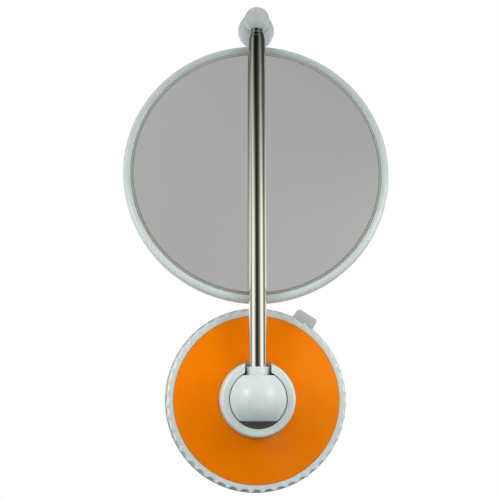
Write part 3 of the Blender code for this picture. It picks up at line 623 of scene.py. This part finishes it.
def make_knuckle():
    centre, radius, flat, split = -knuckle_at.y, 11.15, 7.9, 0.12
    up = knuckle_at.z
    slot_half = 3.05
    bore, bore_half = 5.6, 5.2

    def hollow():
        """The barrel's space, across the shells."""
        space = turned([(0, -bore_half), (bore, -bore_half), (bore, bore_half), (0, bore_half)], 72)
        return moved(space, (90, "Y"), (0, 0, centre))

    top = math.degrees(math.asin(flat / radius))
    bulge = [(r, centre + z) for r, z in arc((0, 0), radius, 1.2, top - 2.2, 24)]
    front = turned([(0, centre + split), (bulge[0][0] - 0.2, centre + split)] + bulge
                   + [(bulge[-1][0] - 0.25, centre + flat - 0.08), (bulge[-1][0] - 0.7, centre + flat),
                      (0, centre + flat)], 112)
    front = carved(front, hollow())
    opening = ((-slot_half, -20), (slot_half, -20), (slot_half, 0.5), (-slot_half, 0.5))
    mouth = lofted([[(x, y, z) for x, y in opening] for z in (centre - 2, centre + slot_half)])
    front = carved(front, mouth)
    piece("knuckle_front_shell", out_from_wall(front, up=up), white_abs, "knuckle",
          ["knuckle_front"], edge=0.15)

    bulge = [(r, centre + z) for r, z in arc((0, 0), radius, -90, -1.2, 40)][1:]
    rear = turned([(0, centre - radius)] + bulge
                  + [(bulge[-1][0] - 0.2, centre - split), (0, centre - split)], 112)
    rear = carved(rear, hollow())
    far, lift = 20, math.radians(10)
    high = slot_half / math.cos(lift)
    fan = [(-far, 2), (-far, -far), (far * math.tan(lift) + high, -far), (high, 2)]
    rear = carved(rear, lofted([[(x, y, centre + z) for y, z in fan] for x in (-slot_half, slot_half)]))
    for side in (1, -1):
        hole = turned([(0, 4), (2.05, 4), (2.05, centre - 4.6), (0, centre - 4.6)], 40)
        rear = carved(rear, moved(hole, by=(side * KNUCKLE_SCREW_X, 0, 0)))
    piece("knuckle_rear_shell", out_from_wall(rear, up=up), white_abs, "knuckle",
          ["knuckle_rear"], edge=0.15)


make_knuckle()


# %% [markdown]
# ## The hanger
# The cross barrel, stem and tongue are one moulding. The barrel gives the tilt its friction, and the
# tongue is clamped between the mirror's frame and its back.

# %% Hanger
def make_hanger():
    barrel = turned(rounded([(0, -4.9, 0), (5.3, -4.9, 0.5), (5.3, 4.9, 0.5), (0, 4.9, 0)]), 96)
    barrel = moved(barrel, (90, "Y"))
    foot = mirror_at.z + 80.3 - knuckle_at.z
    stem = turned(rounded([(0, foot - 0.4, 0), (3.1, foot - 0.4, 0.3), (2.6, foot + 3, 3), (2.6, -3, 0),
                           (0, -3, 0)]), 64)
    hanger = carved(barrel, stem, "UNION")
    tongue = rounded([(-4.5, 193.5, 1.5), (4.5, 193.5, 1.5), (4.5, 214.7, 0.8), (-4.5, 214.7, 0.8)])
    blade = lofted([[(x, depth, y) for x, y in tongue] for depth in (-18.3, -15.9)])
    hanger = carved(hanger, moved(blade, by=(0, -knuckle_at.y, -knuckle_at.z)), "UNION")
    piece("hanger_moulded", moved(hanger, by=knuckle_at), white_abs, "mirror",
          ["tilt_barrel"], edge=0.12)


make_hanger()


# %% [markdown]
# ## The mirror's frame, glass and back
# The rim is a smooth half-round. The glass sits just below its lip, with a narrow ground bevel. The
# back is a shallow dish held by countersunk screws, with two fine rings moulded in so that a large
# plain face doesn't sink or warp.

# %% Mirror frame and glass
SILVER_RADIUS, SEALED_RADIUS, GLASS_RADIUS = 73.6, 74.1, 75.1


def make_mirror():
    inner = [(77.3 + 2.05 * math.cos(math.radians(a)), 22.6 + 1.2 * math.sin(math.radians(a)))
             for a in range(180, 89, -10)]
    outer = [(77.3 + 2.7 * math.cos(math.radians(a)), 20.8 + 3.0 * math.sin(math.radians(a)))
             for a in range(80, -1, -8)]
    web = rounded([(76.5, 18.4, 0), (45, 18.4, 0.2), (45, 19.4, 0.2), (75.25, 19.4, 0)])
    skirt = rounded([(80, 18, 0), (80, 16.9, 0.35), (76.5, 16.9, 0.2), (76.5, 17.5, 0)])
    rim = turned(web + inner + outer + skirt, 288)
    gap = lofted([[(x, y, z) for x, y in ((-4.9, 70), (4.9, 70), (4.9, 85), (-4.9, 85))]
                  for z in (15, 18.7)])
    rim = carved(rim, gap)
    piece("mirror_frame_rounded", out_from_wall(rim, up=mirror_at.z), white_abs, "mirror",
          ["mirror_frame"])

    pane = turned(rounded([(0, 20.4, 0), (GLASS_RADIUS, 20.4, 0.05), (GLASS_RADIUS, 22.75, 0.05),
                           (SEALED_RADIUS, 23.1, 0)], 3) + [(SILVER_RADIUS, 23.1), (0, 23.1)], 288)

    def zone(face):
        """0 for the silver, 2 for its sealed edge, 1 for the bare bevel and edge."""
        radius = math.hypot(face.center.x, face.center.z - mirror_at.z * MM) / MM
        return 0 if radius < SILVER_RADIUS else 2 if radius < SEALED_RADIUS else 1

    return piece("mirror_pane_bevelled", out_from_wall(pane, up=mirror_at.z),
                 [silvered_glass, bare_glass, silver_edge], "mirror", ["mirror_glass"],
                 pick=zone)


pane = make_mirror()


# %% Mirror back
BACK_SCREW_CIRCLE, BACK_SCREW_ANGLES = 70, (45, 135, 225, 315)
TONGUE_SCREW_HEIGHTS = (204, 198)


def make_mirror_back():
    def dish(radius):
        ribs = sum(math.exp(-((radius - centre) / 0.55) ** 2) for centre in (30, 52))
        return 13.4 + 0.7 * (radius / 70) ** 2 - 0.12 * ribs

    rings = [(i * 0.5, dish(i * 0.5)) for i in range(141)]
    back = turned(rings + rounded([(77.9, 14.5, 0.8), (79.6, 15.6, 0.8), (79.6, 16.6, 0.15), (77.4, 16.6, 0),
                                   (76.9, 15.6, 0), (0, 15.6, 0)]), 256)
    places = [(BACK_SCREW_CIRCLE * math.sin(math.radians(a)), BACK_SCREW_CIRCLE * math.cos(math.radians(a)))
              for a in BACK_SCREW_ANGLES]
    places += [(0, height - mirror_at.z) for height in TONGUE_SCREW_HEIGHTS]
    for x, y in places:
        sink = turned([(0, 13), (2.75, 13), (2.75, 14.1), (1.3, 15.3), (1.3, 17), (0, 17)], 48)
        back = carved(back, moved(sink, by=(x, y, 0)))
    side = 4.9
    gap = lofted([[(x, y, z) for x, y in ((-side, 73.5), (side, 73.5), (side, 85), (-side, 85))]
                  for z in (15.45, 17.5)])
    back = carved(back, gap)
    piece("mirror_back_dished", out_from_wall(back, up=mirror_at.z), white_abs, "mirror",
          ["mirror_back"])


make_mirror_back()


# %% [markdown]
# ## Screws that show
# Eight cross-head screws can be seen from behind. Each head is turned and then stamped with a cross:
# two crossed wedges are cut from it, as the punch does in the factory.

# %% Screws
def cross_head_screw(name, head_radius, shank, head_at, neck_at, tip_at, x, up, body):
    """A screw driven from the wall side; the depths run from its head to its tip."""
    outline = rounded([(0, head_at, 0), (head_radius, head_at, 0.12), (head_radius, head_at + 0.15, 0),
                       (shank, neck_at, 0), (shank, tip_at - 0.4, 0), (shank * 0.5, tip_at, 0),
                       (0, tip_at, 0)], 4)
    screw = turned(outline, 40)
    for angle in (35, 125):
        wide, narrow, deep = head_radius * 0.62, head_radius * 0.2, 0.75
        blade = ((-wide, -0.17), (wide, -0.17), (wide, 0.17), (-wide, 0.17))
        wedge = lofted([[(x * k, y, z) for x, y in blade]
                        for k, z in ((1, head_at - 0.1), (narrow / wide, head_at + deep))])
        screw = carved(screw, moved(wedge, (angle, "Z")))
    piece(f"{name}_cross_head", out_from_wall(screw, x, up), zinc, body, [name])


for number, angle in enumerate(BACK_SCREW_ANGLES, 1):
    place = math.radians(angle)
    cross_head_screw(f"back_screw_{number}", 2.2, 1.0, 14.2, 15.4, 18.6, BACK_SCREW_CIRCLE * math.sin(place),
                     mirror_at.z + BACK_SCREW_CIRCLE * math.cos(place), "mirror")
for number, height in enumerate(TONGUE_SCREW_HEIGHTS, 1):
    cross_head_screw(f"tongue_screw_{number}", 2.2, 1.0, 14.2, 15.4, 17.9, 0, height, "mirror")
for side, x in (("right", KNUCKLE_SCREW_X), ("left", -KNUCKLE_SCREW_X)):
    cross_head_screw(f"knuckle_screw_{side}", 1.75, 1.0, 11.7, 12.9, 21.5, x, knuckle_at.z, "knuckle")


# %% [markdown]
# ## The pieces kept from the frame
# The working parts inside are already the right shape, so they only get their finishes.

# %% Finishes for kept pieces
kept = {
    white_abs: ["base_housing"],
    acetal: ["plunger", "ball_seat", "thrust_washer"],
    brass: ["cup_insert", "tube_plug", "middle_bush", "inner_bush"],
    zinc: ["plunger_screw", "cover_screw_1", "cover_screw_2", "cover_screw_3", "seat_spring",
           "pivot_washer", "pivot_screw"],
    foam: ["glass_pad"],
}
for finish, names in kept.items():
    for name in names:
        node = frame["nodes"][name]
        for slot in node.material_slots:
            slot.material = finish
print("kept pieces:", sum(len(names) for names in kept.values()))


# %% [markdown]
# ## Light
# The set is a small cloth tent with two lit sides, which is why the chrome shows two white streaks with
# a dark core between them: the core is the tent's open front. The world paints the tent as seen by the
# object, by compass direction and by height. Its roof adds only to soft light, so that no piece shows
# it as a bright patch. To the camera the world is plain white.

# %% World
world = bpy.data.worlds.new("cloth_tent")
bpy.context.scene.world = world
world.use_nodes = True
tree = world.node_tree
tree.nodes.clear()
direction = add(tree, "ShaderNodeTexCoord").outputs["Generated"]
parts = add(tree, "ShaderNodeSeparateXYZ", links={"Vector": direction})
forward = add(tree, "ShaderNodeMath", {1: -1.0}, {0: parts.outputs["Y"]}, operation="MULTIPLY")
compass = add(tree, "ShaderNodeMath", links={0: parts.outputs["X"], 1: forward.outputs["Value"]},
              operation="ARCTAN2")
around = add(tree, "ShaderNodeMapRange", {"From Min": -math.pi, "From Max": math.pi},
             {"Value": compass.outputs["Value"]})
low_walls = [(-180, 0.75), (-150, 0.9), (-141, 0.92), (-123, 0.87), (-113, 0.5), (-105, 0.24), (-95, 0.2),
             (-86, 0.3), (-75, 0.8), (-63, 0.98), (-54, 0.93), (-43, 0.62), (-34, 0.27), (-28, 0.1),
             (-16, 0.012), (-3, 0.026), (9, 0.1), (21, 0.2), (28, 0.4), (37, 0.78), (47, 0.98), (60, 1.0),
             (68, 0.7), (75, 0.34), (85, 0.12), (93, 0.12), (102, 0.35), (110, 0.62), (130, 0.75),
             (180, 0.75)]
high_walls = [(-180, 0.3), (-160, 0.2), (-142, 0.09), (-120, 0.08), (-106, 0.14), (-96, 0.22), (-84, 0.42),
              (-75, 0.48), (-66, 0.38), (-57, 0.22), (-47, 0.07), (-39, 0.025), (-30, 0.008), (-15, 0.01),
              (-1, 0.03), (12, 0.05), (21, 0.1), (29, 0.23), (40, 0.35), (50, 0.29), (60, 0.15), (72, 0.055),
              (91, 0.045), (106, 0.06), (125, 0.12), (148, 0.25), (180, 0.3)]
low, high = [add(tree, "ShaderNodeValToRGB", links={"Fac": around.outputs["Result"]}) for _ in range(2)]
for node, stops in ((low, low_walls), (high, high_walls)):
    ramp(node, [((angle + 180) / 360, level) for angle, level in stops])
rise = add(tree, "ShaderNodeMapRange", {"From Min": -1.0, "From Max": 1.0}, {"Value": parts.outputs["Z"]})


def by_height(stops):
    """A ramp over the height of the direction, from -1 straight down to 1 straight up."""
    node = add(tree, "ShaderNodeValToRGB", links={"Fac": rise.outputs["Result"]})
    ramp(node, [((height + 1) / 2, level) for height, level in stops])
    return node.outputs["Color"]


climb = by_height([(0.14, 0), (0.22, 0.15), (0.3, 0.58), (0.375, 0.92), (0.42, 1)])
dimming = by_height([(-1, (0.03, 0.06, 0.16, 1)), (-0.5, (0.1, 0.14, 0.26, 1)), (-0.2, 0.8), (-0.05, 1),
                     (0.38, 1), (0.47, 0.6), (0.6, 0.4), (1, 0.3)])
ceiling = by_height([(0.3, 0), (0.5, 0.15), (0.65, 0.45), (0.8, 0.8), (1, 0.95)])
seen = add(tree, "ShaderNodeLightPath")
roof = add(tree, "ShaderNodeMix", {"Factor": 1.0}, data_type="RGBA", blend_type="MULTIPLY")
walls = add(tree, "ShaderNodeMix", data_type="RGBA")
tent = add(tree, "ShaderNodeMix", {"Factor": 1.0}, data_type="RGBA", blend_type="MULTIPLY")
roofed = add(tree, "ShaderNodeMix", {"Factor": 1.0}, data_type="RGBA", blend_type="ADD")
for output, node, name in ((climb, walls, "Factor"), (low.outputs["Color"], walls, "A"),
                           (high.outputs["Color"], walls, "B"), (walls.outputs["Result"], tent, "A"),
                           (dimming, tent, "B"), (tent.outputs["Result"], roofed, "A"), (ceiling, roof, "A"),
                           (seen.outputs["Is Diffuse Ray"], roof, "B"),
                           (roof.outputs["Result"], roofed, "B")):
    tree.links.new(output, node.inputs[name])
glow = add(tree, "ShaderNodeBackground", {"Strength": 1.35}, {"Color": roofed.outputs["Result"]})
plain = add(tree, "ShaderNodeBackground", {"Color": (1, 1, 1, 1)})
mixed = add(tree, "ShaderNodeMixShader", links={0: seen.outputs["Is Camera Ray"], 1: glow.outputs[0],
                                                2: plain.outputs[0]})
add(tree, "ShaderNodeOutputWorld", links={"Surface": mixed.outputs[0]})
print("tent stops:", len(low_walls), "low,", len(high_walls), "high")


# %% [markdown]
# The lamps stand about 0.3 m from the arm, level with its middle, so their highlights sit high on the
# big ball and low on the small one. The cloths beside and before the set give soft light only.

# %% Lamps
def lamp(name, at, aim, size, power, spread=180):
    """A round soft lamp that the camera doesn't see; a grid on it narrows its spread, in degrees."""
    light = bpy.data.lights.new(name, "AREA")
    light.shape, light.size, light.energy, light.spread = "DISK", size, power, math.radians(spread)
    body = bpy.data.objects.new(name, light)
    bpy.context.scene.collection.objects.link(body)
    body.location = at
    body.rotation_euler = (Vector(aim) - Vector(at)).to_track_quat("-Z", "Y").to_euler()
    body.visible_camera = False
    return body


lamps = [lamp("left_lamp", (-0.209, -0.215, 0.110), (0, -0.03, -0.02), 0.13, 0.150, 150),
         lamp("right_lamp", (0.213, -0.212, 0.113), (0, -0.03, -0.02), 0.14, 0.155, 150),
         lamp("front_window", (0.067, -0.298, -0.117), (0, -0.03, 0), 0.05, 0.04)]
fills = [lamp("left_cloth", (-0.36, -0.06, 0.0), (0, -0.01, 0), 0.25, 0.25),
         lamp("right_cloth", (0.36, -0.06, 0.0), (0, -0.01, 0), 0.25, 0.25),
         lamp("base_fill", (-0.02, -0.30, -0.03), (0, -0.02, 0), 0.2, 0.12)]
for fill in fills:
    fill.visible_glossy = False


# %% [markdown]
# The flat glass faces the tent's open front, and would show it as black. A photographer stands a
# grey card there. This one is linked to the glass alone, so that the chrome keeps its dark core, and
# is graded across so that the glass looks even. The lamps are flagged off the glass and the tubes,
# where they would burn out the streaks.

# %% Grey card for the glass
card_light = bpy.data.lights.new("grey_card", "AREA")
card_light.shape, card_light.size, card_light.energy = "SQUARE", 1.3, 2.08
card = bpy.data.objects.new("grey_card", card_light)
bpy.context.scene.collection.objects.link(card)
card.location = (0.05, -1.2, 0.45)
card.rotation_euler = (Vector((0, 0, 0.13)) - card.location).to_track_quat("-Z", "Y").to_euler()
card.visible_camera = False
card_light.use_nodes = True
tree = card_light.node_tree
on_card = add(tree, "ShaderNodeNewGeometry").outputs["Parametric"]
across = add(tree, "ShaderNodeSeparateXYZ", links={"Vector": on_card})
shade = add(tree, "ShaderNodeMapRange", {"To Min": 1.3, "To Max": 0.7}, {"Value": across.outputs["X"]})
tree.links.new(shade.outputs["Result"], tree.nodes["Emission"].inputs["Strength"])
only_glass = bpy.data.collections.new("seen_by_the_card")
only_glass.objects.link(pane)
card.light_linking.receiver_collection = only_glass
unlit = bpy.data.collections.new("shaded_from_the_lamps")
for shiny in [o for o in bpy.context.scene.objects if "_tube_" in o.name] + [pane]:
    unlit.objects.link(shiny)
for entry in unlit.collection_objects:
    entry.light_linking.link_state = "EXCLUDE"
for light in lamps + fills:
    light.light_linking.receiver_collection = unlit


# %% [markdown]
# ## Floor and camera
# The part hangs on a wall, so the floor lies well below it and out of the main view. The camera
# looks up a little from in front of the base, with a lens a bit longer than normal.

# %% Floor
FLOOR_RADIUS, FLOOR_THICKNESS, FLOOR_AT = 1.9, 0.01, -0.42
slab = turned([(0, 0), (FLOOR_RADIUS, 0), (FLOOR_RADIUS, -FLOOR_THICKNESS), (0, -FLOOR_THICKNESS)], 96)
floor_mesh = to_mesh(moved(slab, by=(0, 0, FLOOR_AT)), "floor")
floor_paint, tree, shader, place = start_finish("matt_floor_paint", {"Roughness": 0.8})
roller = add(tree, "ShaderNodeTexNoise", {"Scale": 1 / 0.25, "Detail": 2.0}, {"Vector": place})
coats = add(tree, "ShaderNodeValToRGB", links={"Fac": roller.outputs["Fac"]})
ramp(coats, [(0.3, linear("#F1F2F2")), (0.7, linear("#F6F6F5"))])
tree.links.new(coats.outputs["Color"], shader.inputs["Base Color"])
floor_mesh.materials.append(floor_paint)
floor = bpy.data.objects.new("floor", floor_mesh)
bpy.context.scene.collection.objects.link(floor)
floor.visible_diffuse = floor.visible_glossy = False

# %% Camera
camera_data = bpy.data.cameras.new("studio_camera")
camera_data.lens = 54.8
camera_data.sensor_width = 36
camera_data.clip_start = 0.01
camera = bpy.data.objects.new("studio_camera", camera_data)
bpy.context.scene.collection.objects.link(camera)
looking_up, turned_right, roll = math.radians(10.67), math.radians(2.15), math.radians(-0.05)
camera.matrix_world = (Matrix.Translation((-0.0206, -0.4621, 0.0031))
                       @ Matrix.Rotation(-turned_right, 4, "Z")
                       @ Matrix.Rotation(math.pi / 2 + looking_up, 4, "X") @ Matrix.Rotation(roll, 4, "Z"))
bpy.context.scene.camera = camera
bpy.context.scene.view_settings.view_transform = "Standard"
print("camera at", [round(v, 4) for v in camera.location])
